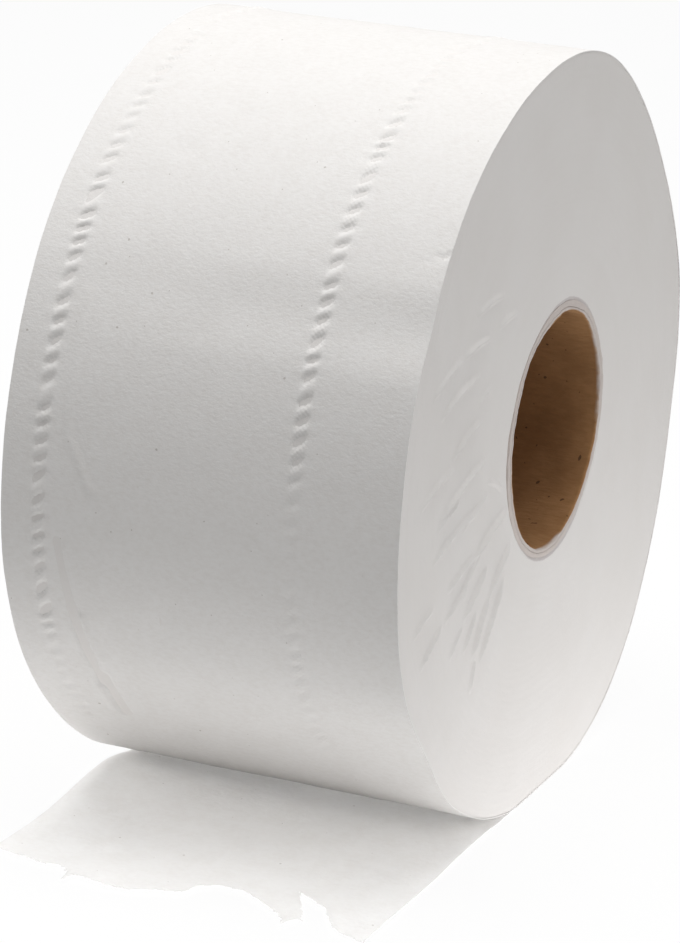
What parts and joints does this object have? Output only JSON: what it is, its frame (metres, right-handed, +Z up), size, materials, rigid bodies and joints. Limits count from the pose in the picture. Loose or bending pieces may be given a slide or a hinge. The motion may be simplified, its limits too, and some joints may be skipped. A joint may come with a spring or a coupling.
{
  "type": "toilet paper roll",
  "caption": "Wound roll of white tissue on a hollow board core, lying on its side with a torn loose end drawn out; it turns on a spindle through the core.",
  "frame": {"origin": "on the core's axis, half way along the core", "axes": "+Y along the core; +Z up with the roll lying on its side on its small flat spot; the loose end lies on the floor towards -X"},
  "size_m": [0.1897, 0.095, 0.179],
  "materials": {
    "tissue_paper": "matt, crepe texture, soft",
    "core_board": "matt brown board, paler on its sawn ends"
  },
  "bodies": {
    "root": {"paper_roll": "tissue_paper", "core": "core_board"}
  },
  "joints": []
}
